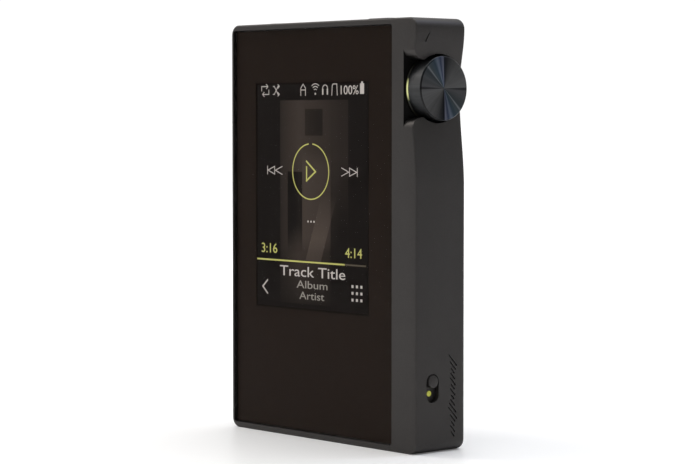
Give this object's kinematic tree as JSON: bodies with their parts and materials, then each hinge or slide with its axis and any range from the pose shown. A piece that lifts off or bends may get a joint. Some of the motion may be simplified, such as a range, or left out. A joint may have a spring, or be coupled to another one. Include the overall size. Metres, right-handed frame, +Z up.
{
  "type": "digital audio player",
  "caption": "Pocket digital audio player with a flush front glass, a side volume knob, a hold slider, side keys, top sockets and a removable back cover.",
  "frame": {"origin": "bottom centre of the player's box, on the face that it stands on", "axes": "+X across the front towards the volume knob, +Y from the front glass to the back cover, +Z up"},
  "size_m": [0.0642, 0.015, 0.0945],
  "materials": {
    "body_metal": "bead-blasted and anodised dark grey",
    "front_glass": "polished, printed brown black behind",
    "display": "dark panel with a lit picture",
    "spun_metal": "turned and anodised, fine circular lines",
    "light_guide": "pale yellow-green, lit from behind",
    "steel": "plated",
    "brass": "turned",
    "black_plastic": "moulded",
    "circuit_board": "green solder mask",
    "chip": "moulded epoxy",
    "cell_wrap": "heat-sealed film",
    "rubber": "die-cut foam adhesive",
    "flex": "polyimide film"
  },
  "bodies": {
    "root": {"amplifier_chip_left": "chip", "amplifier_chip_right": "chip", "antenna_board": "circuit_board", "antenna_window": "black_plastic", "back_cover": "body_metal", "back_screw_1": "steel", "back_screw_2": "steel", "back_screw_3": "steel", "back_screw_4": "steel", "balanced_jack": "black_plastic", "balanced_ring": "spun_metal", "battery": "cell_wrap", "battery_board": "circuit_board", "battery_connector": "black_plastic", "board_screw_1": "steel", "board_screw_2": "steel", "board_screw_3": "steel", "board_screw_4": "steel", "button_board": "circuit_board", "card_socket_lower": "steel", "card_socket_upper": "steel", "converter_chip_left": "chip", "converter_chip_right": "chip", "display_bracket": "steel", "display_connector": "black_plastic", "display_flex": "flex", "display_panel": "display", "encoder_body": "steel", "encoder_bush": "brass", "encoder_nut": "brass", "front_glass": "front_glass", "glass_gasket": "rubber", "headphone_jack": "black_plastic", "headphone_ring": "spun_metal", "hold_switch": "steel", "housing": "body_metal", "light_ring": "light_guide", "main_board": "circuit_board", "memory_chip": "chip", "next_switch": "black_plastic", "oscillator_1": "steel", "oscillator_2": "steel", "play_switch": "black_plastic", "power_switch": "black_plastic", "previous_switch": "black_plastic", "processor_shield": "steel", "usb_board": "circuit_board", "usb_shell": "steel", "usb_tongue": "black_plastic"},
    "knob": {"volume_knob": "spun_metal", "knob_spindle": "steel"},
    "hold": {"hold_slider": "body_metal", "hold_mark": "light_guide"},
    "power_key": {"power_button": "spun_metal"},
    "previous_key": {"previous_button": "spun_metal"},
    "play_key": {"play_button": "spun_metal"},
    "next_key": {"next_button": "spun_metal"}
  },
  "joints": [
    {"name": "volume_turn", "type": "hinge", "parent": "root", "child": "knob", "pos_m": [0.0282, 0, 0.0788], "axis": [1, 0, 0], "continuous": true},
    {"name": "hold_slide", "type": "slide", "parent": "root", "child": "hold", "axis": [0, 0, 1], "range_m": [-0.003, 0]},
    {"name": "power_press", "type": "slide", "parent": "root", "child": "power_key", "axis": [0, 0, -1], "range_m": [0, 0.0004], "stiffness_N_per_m": 1200},
    {"name": "previous_press", "type": "slide", "parent": "root", "child": "previous_key", "axis": [1, 0, 0], "range_m": [0, 0.00035], "stiffness_N_per_m": 1200},
    {"name": "play_press", "type": "slide", "parent": "root", "child": "play_key", "axis": [1, 0, 0], "range_m": [0, 0.00035], "stiffness_N_per_m": 1200},
    {"name": "next_press", "type": "slide", "parent": "root", "child": "next_key", "axis": [1, 0, 0], "range_m": [0, 0.00035], "stiffness_N_per_m": 1200}
  ]
}
